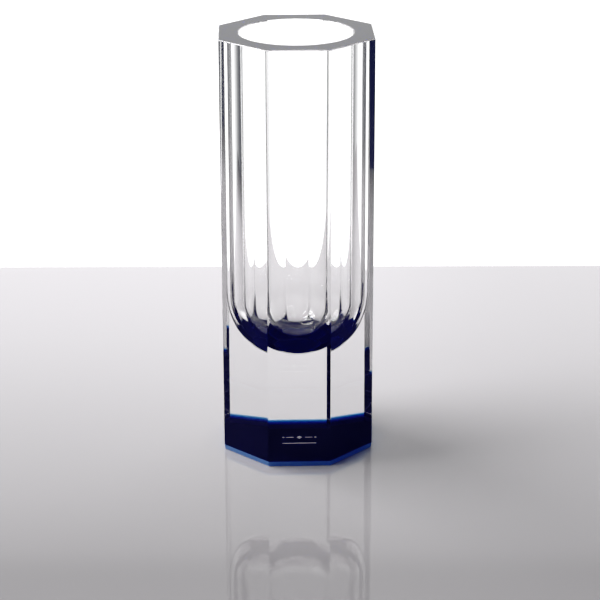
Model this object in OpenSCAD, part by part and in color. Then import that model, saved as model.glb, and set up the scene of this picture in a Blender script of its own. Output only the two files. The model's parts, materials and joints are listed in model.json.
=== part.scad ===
// Octagonal cut crystal vase.
// A tall clear crystal body with a round blind bore is bonded to a thin layer of
// cobalt crystal, which is the foot. Every outer face is flat and polished.
// The origin is the centre of the underside. +Z runs up the bore, and the facets
// face along X, along Y and half way between.

/* [Body] */
// Width of the vase across two opposite facets
across_flats = 80; // [76:1:100]
// Height of the whole vase, from the table to the rim
overall_h = 227; // [180:1:280]
// Width of the small bevel that is ground along every sharp edge
arris = 0.4; // [0.2:0.1:0.8]

/* [Bore] */
// Diameter of the polished bore
bore_d = 59.5; // [50:0.5:66]
// Height of the lowest point of the bore above the table
bore_floor_z = 55; // [30:1:90]

/* [Foot] */
// Thickness of the cobalt layer
cobalt_t = 5.5; // [3:0.5:10]
// How far the steep ground bevel round the underside comes in from each facet
foot_bevel_w = 0.5; // [0.25:0.25:2]
// How far that bevel reaches up each facet from the table
foot_bevel_h = 2.75; // [0.5:0.25:2.75]
// Thickness of the clear bond between the cobalt layer and the body
bond_t = 0.1; // [0.05:0.05:0.2]

/* [Hidden] */
$fn = 128;

// Angle from one facet to the next
facet_turn = 360 / 8;
// Distance from the axis to the uncut corner between two facets
corner_r = across_flats / 2 / cos(facet_turn / 2);
// How far the arris cuts that corner back towards the axis
corner_cut = arris / 2 / tan(90 - facet_turn / 2);
// Underside of the clear body
body_z = cobalt_t + bond_t;
// Height at which the round bottom meets the straight bore
bore_spring_z = bore_floor_z + bore_d / 2;
// How far a cutting or trimming shape runs past the face that it makes
past = 2;

// A regular octagon with a facet facing +X
module octagon(flats) {
    rotate(facet_turn / 2)
        circle(d = flats / cos(facet_turn / 2), $fn = 8);
}

// The vase's plan outline: eight facets with a narrow arris between each pair
module plan_outline() {
    intersection() {
        octagon(across_flats);
        rotate(facet_turn / 2) octagon(2 * (corner_r - corner_cut));
    }
}

// The vase's outer shape between two heights
module facet_prism(low_z, high_z) {
    translate([0, 0, low_z])
        linear_extrude(high_z - low_z) plan_outline();
}

// The space under a flat top at z = top_z whose edge over each facet is bevelled
module under_bevelled_top(top_z, bevel_w, bevel_h) {
    half_w = across_flats / 2;
    run_on = past / bevel_w * bevel_h;
    intersection_for (turn = [0 : facet_turn : 180 - facet_turn])
        rotate([90, 0, turn])
            linear_extrude(2 * across_flats, center = true)
                polygon([
                    [-half_w - past, top_z - overall_h - past],
                    [half_w + past, top_z - overall_h - past],
                    [half_w + past, top_z - bevel_h - run_on],
                    [half_w - bevel_w, top_z],
                    [bevel_w - half_w, top_z],
                    [-half_w - past, top_z - bevel_h - run_on]
                ]);
}

// The round-bottomed bore, with an arris round its mouth
module bore() {
    translate([0, 0, bore_spring_z]) {
        sphere(d = bore_d);
        cylinder(d = bore_d, h = overall_h);
    }
    translate([0, 0, overall_h - arris])
        cylinder(d1 = bore_d, d2 = bore_d + 2 * (arris + past), h = arris + past);
}

module crystal_body() {
    color("aliceblue", 0.4)
        difference() {
            intersection() {
                facet_prism(body_z, overall_h + past);
                under_bevelled_top(overall_h, arris, arris);
            }
            bore();
        }
}

module bond_film() {
    color("lightcyan", 0.4)
        facet_prism(cobalt_t, body_z);
}

module cobalt_base() {
    color("midnightblue", 0.9)
        intersection() {
            facet_prism(-past, cobalt_t);
            mirror([0, 0, 1]) under_bevelled_top(0, foot_bevel_w, foot_bevel_h);
        }
}

crystal_body();
bond_film();
cobalt_base();
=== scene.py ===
"""A tall octagonal crystal vase with a cobalt crystal foot, on a pale glossy table."""
import json
import math

import bmesh
import bpy
from mathutils import Matrix, Vector


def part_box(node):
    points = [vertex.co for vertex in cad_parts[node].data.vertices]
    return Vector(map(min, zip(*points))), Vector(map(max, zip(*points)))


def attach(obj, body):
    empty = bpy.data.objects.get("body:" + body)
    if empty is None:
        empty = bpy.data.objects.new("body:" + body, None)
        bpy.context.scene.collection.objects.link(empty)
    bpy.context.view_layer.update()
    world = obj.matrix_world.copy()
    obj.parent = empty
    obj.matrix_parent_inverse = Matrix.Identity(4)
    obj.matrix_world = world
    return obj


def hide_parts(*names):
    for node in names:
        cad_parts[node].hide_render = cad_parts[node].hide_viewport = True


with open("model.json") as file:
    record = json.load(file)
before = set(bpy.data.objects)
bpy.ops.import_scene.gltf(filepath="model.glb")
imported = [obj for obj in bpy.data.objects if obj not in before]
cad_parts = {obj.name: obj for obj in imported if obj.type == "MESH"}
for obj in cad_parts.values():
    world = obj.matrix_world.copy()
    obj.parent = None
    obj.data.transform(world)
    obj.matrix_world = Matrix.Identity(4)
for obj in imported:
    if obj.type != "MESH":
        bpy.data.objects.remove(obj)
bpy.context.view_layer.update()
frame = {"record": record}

MM = 0.001

# ---------------------------------------------------------------- sizes, from the frame

BODY_LOW, BODY_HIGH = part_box("crystal_body")
FILM_LOW, FILM_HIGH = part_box("bond_film")
FOOT_LOW, FOOT_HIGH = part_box("cobalt_base")
BORE = next(m for m in frame["record"]["mounts"] if m["name"] == "stem_bore")

HALF_FLATS = (BODY_HIGH.x - BODY_LOW.x) / 2
BORE_R = BORE["dims"]["r_mm"] * MM
# The bevels: round the rim and the mouth, on the upright edges, and at the corners of the sole
ARRIS = 0.4 * MM
EDGE = 0.15 * MM
SHARP = 0.05 * MM
FOOT_BEVEL_W = 0.5 * MM
FOOT_BEVEL_H = 2.75 * MM
MOUTH_Z = BODY_HIGH.z - ARRIS
SPRING_Z = MOUTH_Z - BORE["dims"]["length_mm"] * MM
# The film stands this far clear of the pieces above and below it
JOINT_GAP = 0.01 * MM
JOINT_REACH = 2 * JOINT_GAP

# The ornament engraved low on the front facet
CUT_DEPTH = 0.05 * MM
CUT_REACH = 0.2 * CUT_DEPTH
CUT_TOP_Z = 16.8 * MM
CUT_LOW_Z = 13.4 * MM
CUT_LINE = 0.5 * MM
CUT_LONG = 9.0 * MM
CUT_SHORT = 7.0 * MM
CUT_GAP = 3.0 * MM
CUT_LOZENGE_W = 3.2 * MM
CUT_LOZENGE_H = 1.8 * MM

TABLE_Z = -0.05 * MM

FACETS = 8
BORE_SEGMENTS = 256
BOWL_RINGS = 64

# A face counts as square to an axis when its normal is at least this far along it
SQUARE_ON = 0.99

# ---------------------------------------------------------------- outlines and meshes


def facet_outline(half_flats, arris, z):
    """The plan outline at height z: eight facets with a narrow arris between each pair."""
    half_turn = math.pi / FACETS
    corner = half_flats / math.cos(half_turn)
    reach = corner - arris / 2 * math.tan(half_turn)
    points = []
    for facet in range(FACETS):
        angle = (2 * facet + 1) * half_turn
        out = Vector((math.cos(angle), math.sin(angle), 0))
        side = Vector((-out.y, out.x, 0))
        for sign in (-1, 1):
            points.append(out * reach + side * (sign * arris / 2) + Vector((0, 0, z)))
    return points


def circle(radius, z):
    """Points round the axis at height z."""
    turn = 2 * math.pi / BORE_SEGMENTS
    return [
        Vector((radius * math.cos(i * turn), radius * math.sin(i * turn), z))
        for i in range(BORE_SEGMENTS)
    ]


def add_ring(bm, points):
    """New vertices at the points, in order."""
    return [bm.verts.new(p) for p in points]


def skin(bm, lower, upper, smooth=False):
    """A band of quads between two rings with the same number of points."""
    count = len(lower)
    for i in range(count):
        j = (i + 1) % count
        face = bm.faces.new((lower[i], lower[j], upper[j], upper[i]))
        face.smooth = smooth


def ring_edges(bm, ring):
    """The edges that join a ring's neighbouring vertices."""
    return [bm.edges.get((ring[i - 1], ring[i])) for i in range(len(ring))]


def new_piece(name, bm, material, node):
    """Turns a bmesh into a piece that stands for a CAD node."""
    bmesh.ops.recalc_face_normals(bm, faces=bm.faces)
    mesh = bpy.data.meshes.new(name)
    bm.to_mesh(mesh)
    bm.free()
    mesh.materials.append(material)
    piece = bpy.data.objects.new(name, mesh)
    bpy.context.scene.collection.objects.link(piece)
    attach(piece, "root")
    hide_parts(node)
    return piece


def mark_bonded(piece, z):
    """Flags the flat face at height z, which is bonded to the next piece."""
    flags = piece.data.attributes.new("bonded", "FLOAT", "FACE")
    for face, flag in zip(piece.data.polygons, flags.data):
        if abs(face.normal.z) > SQUARE_ON and abs(face.center.z - z) < JOINT_REACH:
            flag.value = 1.0


def mark_engraved(piece, y):
    """Flags the satin floors of the engraved ornament, which lie at depth y."""
    flags = piece.data.attributes.new("ground", "FLOAT", "FACE")
    for face, flag in zip(piece.data.polygons, flags.data):
        if face.normal.y < -SQUARE_ON and abs(face.center.y - y) < CUT_REACH:
            flag.value = 1.0


def mark_bore(piece):
    """Flags the smooth bore, which is formed hot, unlike the ground and polished facets."""
    flags = piece.data.attributes.new("bore", "FLOAT", "FACE")
    for face, flag in zip(piece.data.polygons, flags.data):
        if face.use_smooth:
            flag.value = 1.0


def mark_ground(piece, low, high):
    """Flags the satin ground sole and bevel, whose faces lie between two heights."""
    flags = piece.data.attributes.new("ground", "FLOAT", "FACE")
    for face, flag in zip(piece.data.polygons, flags.data):
        if low < face.center.z < high:
            flag.value = 1.0


def bar(left, right, z, height):
    """A thin level bar on the front facet, as (x, z) points."""
    low, high = z - height / 2, z + height / 2
    return [(left, low), (right, low), (right, high), (left, high)]


def lozenge(x, z, width, height):
    """A lozenge centred on (x, z), as (x, z) points."""
    half_w, half_h = width / 2, height / 2
    return [(x, z - half_h), (x + half_w, z), (x, z + half_h), (x - half_w, z)]


def ornament():
    """Plain lozenges and bars, engraved low on the front facet."""
    shapes = [
        lozenge(0, CUT_TOP_Z, CUT_LOZENGE_W, CUT_LOZENGE_H),
        bar(-CUT_LONG, CUT_LONG, CUT_LOW_Z, CUT_LINE),
    ]
    for side in (-1, 1):
        ends = sorted((side * CUT_GAP, side * CUT_SHORT))
        shapes.append(bar(*ends, CUT_TOP_Z, CUT_LINE))
        beyond = side * (CUT_SHORT + CUT_GAP / 2)
        shapes.append(lozenge(beyond, CUT_TOP_Z, CUT_LOZENGE_W / 2, CUT_LOZENGE_H / 2))
    return shapes


def engrave(bm, facet, y, shapes):
    """Cuts shapes a little way into a flat facet that faces -Y."""
    edges = list(facet.edges)
    bm.faces.remove(facet)
    for shape in shapes:
        top = add_ring(bm, [Vector((x, y, z)) for x, z in shape])
        floor = add_ring(bm, [Vector((x, y + CUT_DEPTH, z)) for x, z in shape])
        skin(bm, top, floor)
        bm.faces.new(floor)
        edges += ring_edges(bm, top)
    bmesh.ops.triangle_fill(bm, use_beauty=True, edges=edges, normal=(0, -1, 0))


# ---------------------------------------------------------------- materials

CRYSTAL_IOR = 1.53
UNBENT_IOR = 1.0
CRYSTAL_TINT = (0.4, 0.4, 0.42)
CRYSTAL_DENSITY = 1.0
COBALT_TINT = (0.20, 0.56, 0.80)
COBALT_DENSITY = 1000.0
GROUND_ROUGHNESS = 0.6
GROUND_GRAIN = 0.12
GROUND_CLEAR = 0.3
# The satin bevel's blue is partly the frosted cobalt's own colour and partly painted light: the
# glow of light that has passed through the cobalt
GROUND_BLUE_AND_GLOW = (0.22, 0.38, 0.80)
GROUND_CLEAR_TINT = (0.9, 0.9, 0.92)
GRAIN_PER_M = 1500.0
RIPPLE_PER_M = (70.0, 70.0, 25.0)
RIPPLE_HEIGHT = 0.04 * MM


def glass(name, ior, absorbs=None, density=0.0, bonded=False):
    """Polished glass, which may absorb light. Its bonded faces leave the light unbent."""
    material = bpy.data.materials.new(name)
    material.use_nodes = True
    nodes, links = material.node_tree.nodes, material.node_tree.links
    shader = nodes["Principled BSDF"]
    shader.inputs["Base Color"].default_value = (1, 1, 1, 1)
    shader.inputs["Roughness"].default_value = 0.0
    shader.inputs["Transmission Weight"].default_value = 1.0
    shader.inputs["IOR"].default_value = ior
    if bonded:
        flag = nodes.new("ShaderNodeAttribute")
        flag.attribute_name = "bonded"
        step = nodes.new("ShaderNodeMapRange")
        step.inputs["To Min"].default_value = ior
        step.inputs["To Max"].default_value = UNBENT_IOR
        links.new(flag.outputs["Fac"], step.inputs["Value"])
        links.new(step.outputs["Result"], shader.inputs["IOR"])
    if absorbs:
        volume = nodes.new("ShaderNodeVolumeAbsorption")
        volume.inputs["Color"].default_value = (*absorbs, 1)
        volume.inputs["Density"].default_value = density
        links.new(volume.outputs["Volume"], nodes["Material Output"].inputs["Volume"])
    return material


def add_ground_faces(material, colour):
    """Makes the flagged faces satin, as a grinding wheel leaves them, and gives them the colour,
    which on the cobalt foot is partly painted glow.
    """
    nodes, links = material.node_tree.nodes, material.node_tree.links
    shader = nodes["Principled BSDF"]
    flag = nodes.new("ShaderNodeAttribute")
    flag.attribute_name = "ground"
    place = nodes.new("ShaderNodeTexCoord")
    noise = nodes.new("ShaderNodeTexNoise")
    noise.inputs["Scale"].default_value = GRAIN_PER_M
    links.new(place.outputs["Object"], noise.inputs["Vector"])
    grain = nodes.new("ShaderNodeMapRange")
    grain.inputs["To Min"].default_value = GROUND_ROUGHNESS - GROUND_GRAIN
    grain.inputs["To Max"].default_value = GROUND_ROUGHNESS + GROUND_GRAIN
    links.new(noise.outputs["Fac"], grain.inputs["Value"])
    satin = nodes.new("ShaderNodeMath")
    satin.operation = "MULTIPLY"
    links.new(grain.outputs["Result"], satin.inputs[0])
    links.new(flag.outputs["Fac"], satin.inputs[1])
    links.new(satin.outputs["Value"], shader.inputs["Roughness"])
    step = nodes.new("ShaderNodeMapRange")
    step.inputs["To Min"].default_value = 1.0
    step.inputs["To Max"].default_value = GROUND_CLEAR
    links.new(flag.outputs["Fac"], step.inputs["Value"])
    links.new(step.outputs["Result"], shader.inputs["Transmission Weight"])
    # The flagged faces take the given colour as their base; on the cobalt foot this blue is partly
    # painted glow of light through the cobalt
    tint = nodes.new("ShaderNodeMix")
    tint.data_type = "RGBA"
    tint.inputs["A"].default_value = (1, 1, 1, 1)
    tint.inputs["B"].default_value = (*colour, 1)
    links.new(flag.outputs["Fac"], tint.inputs["Factor"])
    links.new(tint.outputs["Result"], shader.inputs["Base Color"])


def add_bore_ripple(material):
    """A slow ripple on the flagged bore, which bends what is seen through it a little."""
    nodes, links = material.node_tree.nodes, material.node_tree.links
    flag = nodes.new("ShaderNodeAttribute")
    flag.attribute_name = "bore"
    place = nodes.new("ShaderNodeTexCoord")
    stretch = nodes.new("ShaderNodeMapping")
    stretch.inputs["Scale"].default_value = RIPPLE_PER_M
    links.new(place.outputs["Object"], stretch.inputs["Vector"])
    noise = nodes.new("ShaderNodeTexNoise")
    noise.inputs["Scale"].default_value = 1.0
    noise.inputs["Detail"].default_value = 1.0
    links.new(stretch.outputs["Vector"], noise.inputs["Vector"])
    bump = nodes.new("ShaderNodeBump")
    bump.inputs["Distance"].default_value = RIPPLE_HEIGHT
    links.new(noise.outputs["Fac"], bump.inputs["Height"])
    links.new(flag.outputs["Fac"], bump.inputs["Strength"])
    links.new(bump.outputs["Normal"], nodes["Principled BSDF"].inputs["Normal"])


# ---------------------------------------------------------------- the three pieces


def make_body():
    """The clear octagonal body, with its round-bottomed bore and the ornament."""
    bm = bmesh.new()
    foot = add_ring(bm, facet_outline(HALF_FLATS, EDGE, BODY_LOW.z))
    shoulder = add_ring(bm, facet_outline(HALF_FLATS, EDGE, MOUTH_Z))
    rim = add_ring(bm, facet_outline(HALF_FLATS - ARRIS, EDGE, BODY_HIGH.z))
    skin(bm, foot, shoulder)
    skin(bm, shoulder, rim)
    bm.faces.new(foot)
    lip = add_ring(bm, circle(BORE_R + ARRIS, BODY_HIGH.z))
    mouth = add_ring(bm, circle(BORE_R, MOUTH_Z))
    skin(bm, lip, mouth)
    for ring in (rim, lip):
        for i in range(len(ring)):
            if bm.edges.get((ring[i - 1], ring[i])) is None:
                bm.edges.new((ring[i - 1], ring[i]))
    bmesh.ops.triangle_fill(
        bm, use_beauty=True, edges=ring_edges(bm, rim) + ring_edges(bm, lip)
    )
    above = mouth
    for step in range(BOWL_RINGS):
        dip = math.pi / 2 * step / BOWL_RINGS
        z = SPRING_Z - BORE_R * math.sin(dip)
        ring = add_ring(bm, circle(BORE_R * math.cos(dip), z))
        skin(bm, above, ring, smooth=True)
        above = ring
    bottom = bm.verts.new((0, 0, SPRING_Z - BORE_R))
    for i in range(BORE_SEGMENTS):
        face = bm.faces.new((above[i - 1], above[i], bottom))
        face.smooth = True
    crystal = glass(
        "clear_crystal", CRYSTAL_IOR, CRYSTAL_TINT, CRYSTAL_DENSITY, bonded=True
    )
    add_ground_faces(crystal, GROUND_CLEAR_TINT)
    add_bore_ripple(crystal)
    bm.faces.ensure_lookup_table()
    front = min(bm.faces, key=lambda face: face.calc_center_median().y)
    engrave(bm, front, BODY_LOW.y, ornament())
    body = new_piece("crystal_body_polished", bm, crystal, "crystal_body")
    for edge in body.data.edges:
        a, b = (body.data.vertices[i].co for i in edge.vertices)
        if abs(a.z - MOUTH_Z) < JOINT_GAP and abs(b.z - MOUTH_Z) < JOINT_GAP:
            edge.use_edge_sharp = True
    mark_bonded(body, BODY_LOW.z)
    mark_engraved(body, BODY_LOW.y + CUT_DEPTH)
    mark_bore(body)


def make_film():
    """The thin clear bond, which leaves light unbent."""
    bm = bmesh.new()
    low = add_ring(bm, facet_outline(HALF_FLATS, EDGE, FILM_LOW.z + JOINT_GAP))
    high = add_ring(bm, facet_outline(HALF_FLATS, EDGE, FILM_HIGH.z - JOINT_GAP))
    skin(bm, low, high)
    bm.faces.new(low)
    bm.faces.new(high)
    bond = glass("clear_bond", UNBENT_IOR)
    new_piece("bond_film_clear", bm, bond, "bond_film")


def make_foot():
    """The cobalt layer, with a ground bevel round its underside."""
    bm = bmesh.new()
    sole = add_ring(bm, facet_outline(HALF_FLATS - FOOT_BEVEL_W, SHARP, FOOT_LOW.z))
    heel = add_ring(bm, facet_outline(HALF_FLATS, EDGE, FOOT_LOW.z + FOOT_BEVEL_H))
    top = add_ring(bm, facet_outline(HALF_FLATS, EDGE, FOOT_HIGH.z))
    bm.faces.new(sole)
    skin(bm, sole, heel)
    skin(bm, heel, top)
    bm.faces.new(top)
    cobalt = glass(
        "cobalt_crystal", CRYSTAL_IOR, COBALT_TINT, COBALT_DENSITY, bonded=True
    )
    # The bevel's blue is partly painted light, the glow of light that has passed through the
    # cobalt
    add_ground_faces(cobalt, GROUND_BLUE_AND_GLOW)
    foot = new_piece("cobalt_base_polished", bm, cobalt, "cobalt_base")
    mark_bonded(foot, FOOT_HIGH.z)
    mark_ground(foot, FOOT_LOW.z - JOINT_GAP, FOOT_LOW.z + FOOT_BEVEL_H)


# ---------------------------------------------------------------- stage

# The camera, turned about the vase's axis and placed in metres from it
CAMERA_TURN = math.radians(1.52)
CAMERA_YAW = math.radians(0.09)
CAMERA_PITCH = math.radians(20.52)
CAMERA_ROLL = math.radians(-0.14)
CAMERA_AWAY = 1.048
CAMERA_HEIGHT = 0.472
CAMERA_LENS = 124.6
CAMERA_SENSOR = 36.0
CAMERA_SEES_TO = 100.0

# The table top, in metres from the vase's axis as the camera sees it
TABLE_LEFT, TABLE_RIGHT = -0.52, 0.54
TABLE_NEAR, TABLE_FAR = -0.44, 0.278
TABLE_THICK = 0.018
TABLE_ROUGHNESS = 0.01

# How bright the table top is painted, from near to far and from left to right: painted light and
# shade standing in for how the studio light falls off across it
TABLE_PAINTED_LIGHT_Y = (
    (-0.44, 0.03), (-0.36, 0.14), (-0.25, 0.215), (-0.17, 0.208), (-0.13, 0.254),
    (-0.08, 0.30), (0.0, 0.362), (0.15, 0.48), (0.28, 0.54),
)
TABLE_PAINTED_LIGHT_X = (
    (-0.52, 0.08), (-0.48, 0.2), (-0.42, 0.55), (-0.36, 0.92), (-0.30, 1.0),
    (0.0, 1.0), (0.15, 0.90), (0.36, 0.84), (0.44, 0.65), (0.54, 0.55),
)
TABLE_TINT = (1.0, 0.965, 1.0)

# How bright the studio is, by degrees round from straight behind the vase
STUDIO_ROUND = (
    (-180, 0.015), (-165, 0.02), (-135, 0.12), (-115, 0.10), (-87, 0.04), (-75, 0.10), (-69, 0.14),
    (-63, 0.23), (-57, 0.38), (-51, 0.52), (-45, 0.67), (-39, 0.80), (-33, 0.93), (-26, 1.0),
    (40, 1.0), (47, 0.9), (57, 0.73), (63, 0.57), (69, 0.46), (75, 0.29),
    (100, 0.12), (135, 0.12), (165, 0.02), (180, 0.015),
)
# The least it is at the sides and behind, reached between two elevations in degrees
SIDES = 0.3
SIDES_FROM, SIDES_TO = -13.0, -8.0
# How the walls give way to the ceiling, and the extra glow on the walls low down
WALLS_END_FROM, WALLS_END_TO = 25.0, 60.0
CEILING = 0.15
BACK_GLOW = 0.4
BACK_GLOW_FROM, BACK_GLOW_TO = 10.0, -5.0
ROOM_GLOW = (0.0, 0.003, 0.012)

# The key light at the left, in degrees
KEY_AZIMUTH = -75.0
KEY_WIDTH = 34.0
KEY_ELEVATION = 60.0
KEY_HEIGHT = 20.0
KEY_STRENGTH = 10.2

# The light high behind the vase, in degrees
BACK_TOP = 1.4
BACK_TOP_FROM, BACK_TOP_TO = 30.0, 58.0
BACK_TOP_SOFT = 8.0
BACK_TOP_WIDTH = 50.0

# A soft edge runs from this much past a light's half width to this much inside it
SOFT_OUTER, SOFT_INNER = 1.2, 0.8

# The grade: (scene brightness, shown brightness) for red and green, then for blue
GRADE_WARM = (
    (0.0, 0.0), (0.018, 0.002), (0.04, 0.007), (0.08, 0.04),
    (0.16, 0.14), (0.3, 0.295), (1.0, 1.0),
)
GRADE_BLUE = (
    (0.0, 0.004), (0.018, 0.0116), (0.04, 0.03), (0.08, 0.065),
    (0.16, 0.147), (0.3, 0.295), (1.0, 1.0),
)

LIGHT_BOUNCES = 48
GLOSSY_BOUNCES = 16
DIFFUSE_BOUNCES = 4
CLEAR_BOUNCES = 16


def node_math(tree, operation, *values):
    """One math node; each value is a socket or a number."""
    node = tree.nodes.new("ShaderNodeMath")
    node.operation = operation
    for socket, value in zip(node.inputs, values):
        if isinstance(value, (int, float)):
            socket.default_value = value
        else:
            tree.links.new(value, socket)
    return node.outputs[0]


def node_ramp(tree, value, stops):
    """A smooth ramp through (position, brightness) stops in the value's own units."""
    low, high = stops[0][0], stops[-1][0]
    node = tree.nodes.new("ShaderNodeMapRange")
    node.inputs["From Min"].default_value = low
    node.inputs["From Max"].default_value = high
    tree.links.new(value, node.inputs["Value"])
    curve = tree.nodes.new("ShaderNodeFloatCurve")
    points = curve.mapping.curves[0].points
    while len(points) < len(stops):
        points.new(0.5, 0.5)
    for point, (position, brightness) in zip(points, stops):
        point.location = ((position - low) / (high - low), brightness)
        point.handle_type = "AUTO_CLAMPED"
    curve.mapping.update()
    tree.links.new(node.outputs["Result"], curve.inputs["Value"])
    return curve.outputs["Value"]


def smooth_between(tree, value, start, end):
    """0 at start, 1 at end, smooth between."""
    node = tree.nodes.new("ShaderNodeMapRange")
    node.interpolation_type = "SMOOTHSTEP"
    node.inputs["From Min"].default_value = start
    node.inputs["From Max"].default_value = end
    tree.links.new(value, node.inputs["Value"])
    return node.outputs["Result"]


def make_table():
    """The pale glossy table, square to the camera, with painted light and shade in its colour."""
    bm = bmesh.new()
    corners = (
        (TABLE_LEFT, TABLE_NEAR),
        (TABLE_RIGHT, TABLE_NEAR),
        (TABLE_RIGHT, TABLE_FAR),
        (TABLE_LEFT, TABLE_FAR),
    )
    under = add_ring(bm, [Vector((x, y, -TABLE_THICK)) for x, y in corners])
    top = add_ring(bm, [Vector((x, y, 0)) for x, y in corners])
    skin(bm, under, top)
    bm.faces.new(top)
    bm.faces.new(reversed(under))
    mesh = bpy.data.meshes.new("table")
    bm.to_mesh(mesh)
    bm.free()
    material = bpy.data.materials.new("table_gloss")
    material.use_nodes = True
    tree = material.node_tree
    place = tree.nodes.new("ShaderNodeSeparateXYZ")
    where = tree.nodes.new("ShaderNodeTexCoord")
    tree.links.new(where.outputs["Object"], place.inputs["Vector"])
    # Painted light: the table's colour is darkened towards the near edge and the sides, standing
    # in for the light falling off
    painted_light = node_math(
        tree,
        "MULTIPLY",
        node_ramp(tree, place.outputs["Y"], TABLE_PAINTED_LIGHT_Y),
        node_ramp(tree, place.outputs["X"], TABLE_PAINTED_LIGHT_X),
    )
    tint = tree.nodes.new("ShaderNodeVectorMath")
    tint.operation = "SCALE"
    tint.inputs[0].default_value = TABLE_TINT
    tree.links.new(painted_light, tint.inputs["Scale"])
    shader = tree.nodes["Principled BSDF"]
    tree.links.new(tint.outputs["Vector"], shader.inputs["Base Color"])
    shader.inputs["Roughness"].default_value = TABLE_ROUGHNESS
    mesh.materials.append(material)
    table = bpy.data.objects.new("table", mesh)
    table.location.z = TABLE_Z
    table.rotation_euler.z = -CAMERA_TURN - CAMERA_YAW
    bpy.context.scene.collection.objects.link(table)


def light_edge(tree, value, centre, half_width):
    """1 near the centre, falling softly to 0 about half_width away."""
    away = node_math(tree, "ABSOLUTE", node_math(tree, "SUBTRACT", value, centre))
    return smooth_between(tree, away, half_width * SOFT_OUTER, half_width * SOFT_INNER)


def make_world():
    """The studio: pale walls behind, dimmer ones round the sides, and two lights."""
    world = bpy.data.worlds.new("studio")
    world.use_nodes = True
    tree = world.node_tree
    direction = tree.nodes.new("ShaderNodeTexCoord")
    parts = tree.nodes.new("ShaderNodeSeparateXYZ")
    tree.links.new(direction.outputs["Generated"], parts.inputs["Vector"])
    x, y, z = (parts.outputs[axis] for axis in "XYZ")
    azimuth = node_math(tree, "DEGREES", node_math(tree, "ARCTAN2", x, y))
    elevation = node_math(tree, "DEGREES", node_math(tree, "ARCSINE", z))
    sides = node_math(
        tree, "MULTIPLY", smooth_between(tree, elevation, SIDES_FROM, SIDES_TO), SIDES
    )
    low = node_math(tree, "MAXIMUM", node_ramp(tree, azimuth, STUDIO_ROUND), sides)
    up = smooth_between(tree, elevation, WALLS_END_FROM, WALLS_END_TO)
    glow = node_math(
        tree,
        "MULTIPLY_ADD",
        smooth_between(tree, elevation, BACK_GLOW_FROM, BACK_GLOW_TO),
        BACK_GLOW,
        node_math(tree, "SUBTRACT", 1.0, up),
    )
    walls = node_math(tree, "MULTIPLY", low, glow)
    ceiling = node_math(tree, "MULTIPLY", up, CEILING)
    across = light_edge(tree, azimuth, KEY_AZIMUTH, KEY_WIDTH)
    along = light_edge(tree, elevation, KEY_ELEVATION, KEY_HEIGHT)
    shape = node_math(tree, "MULTIPLY", across, along)
    key = node_math(tree, "MULTIPLY", shape, KEY_STRENGTH)
    behind = light_edge(tree, azimuth, 0.0, BACK_TOP_WIDTH)
    rising = smooth_between(tree, elevation, BACK_TOP_FROM, BACK_TOP_FROM + BACK_TOP_SOFT)
    falling = smooth_between(tree, elevation, BACK_TOP_TO + BACK_TOP_SOFT, BACK_TOP_TO)
    band = node_math(tree, "MULTIPLY", rising, falling)
    top = node_math(tree, "MULTIPLY", node_math(tree, "MULTIPLY", behind, band), BACK_TOP)
    room_light = node_math(tree, "ADD", walls, ceiling)
    total = node_math(tree, "ADD", room_light, node_math(tree, "ADD", key, top))
    room = tree.nodes.new("ShaderNodeVectorMath")
    room.inputs[1].default_value = ROOM_GLOW
    tree.links.new(total, room.inputs[0])
    background = tree.nodes["Background"]
    tree.links.new(room.outputs["Vector"], background.inputs["Color"])
    bpy.context.scene.world = world


def set_grade(scene):
    """Deepens the darkest tones of the whole picture and keeps them a little blue."""
    scene.view_settings.use_curve_mapping = True
    mapping = scene.view_settings.curve_mapping
    for curve, tones in zip(mapping.curves, (GRADE_WARM, GRADE_WARM, GRADE_BLUE)):
        points = curve.points
        points[0].location, points[-1].location = tones[0], tones[-1]
        for tone in tones[1:-1]:
            points.new(*tone)
        for point in points:
            point.handle_type = "AUTO_CLAMPED"
    mapping.extend = "EXTRAPOLATED"
    mapping.update()


# ---------------------------------------------------------------- camera


def make_camera():
    """The photo's camera, aimed down at the vase from in front."""
    camera = bpy.data.cameras.new("camera")
    camera.sensor_width = CAMERA_SENSOR
    camera.lens = CAMERA_LENS
    camera.clip_end = CAMERA_SEES_TO
    obj = bpy.data.objects.new("camera", camera)
    x = -CAMERA_AWAY * math.sin(CAMERA_TURN)
    y = -CAMERA_AWAY * math.cos(CAMERA_TURN)
    place = Matrix.Translation((x, y, CAMERA_HEIGHT))
    aim = (
        Matrix.Rotation(-CAMERA_TURN - CAMERA_YAW, 4, "Z")
        @ Matrix.Rotation(math.pi / 2 - CAMERA_PITCH, 4, "X")
        @ Matrix.Rotation(CAMERA_ROLL, 4, "Z")
    )
    obj.matrix_world = place @ aim
    bpy.context.scene.collection.objects.link(obj)
    bpy.context.scene.camera = obj


make_camera()
make_body()
make_film()
make_foot()
make_table()
make_world()

scene = bpy.context.scene
scene.view_settings.view_transform = "Standard"
set_grade(scene)
scene.cycles.use_denoising = True
scene.cycles.max_bounces = LIGHT_BOUNCES
scene.cycles.transmission_bounces = LIGHT_BOUNCES
scene.cycles.glossy_bounces = GLOSSY_BOUNCES
scene.cycles.diffuse_bounces = DIFFUSE_BOUNCES
scene.cycles.transparent_max_bounces = CLEAR_BOUNCES
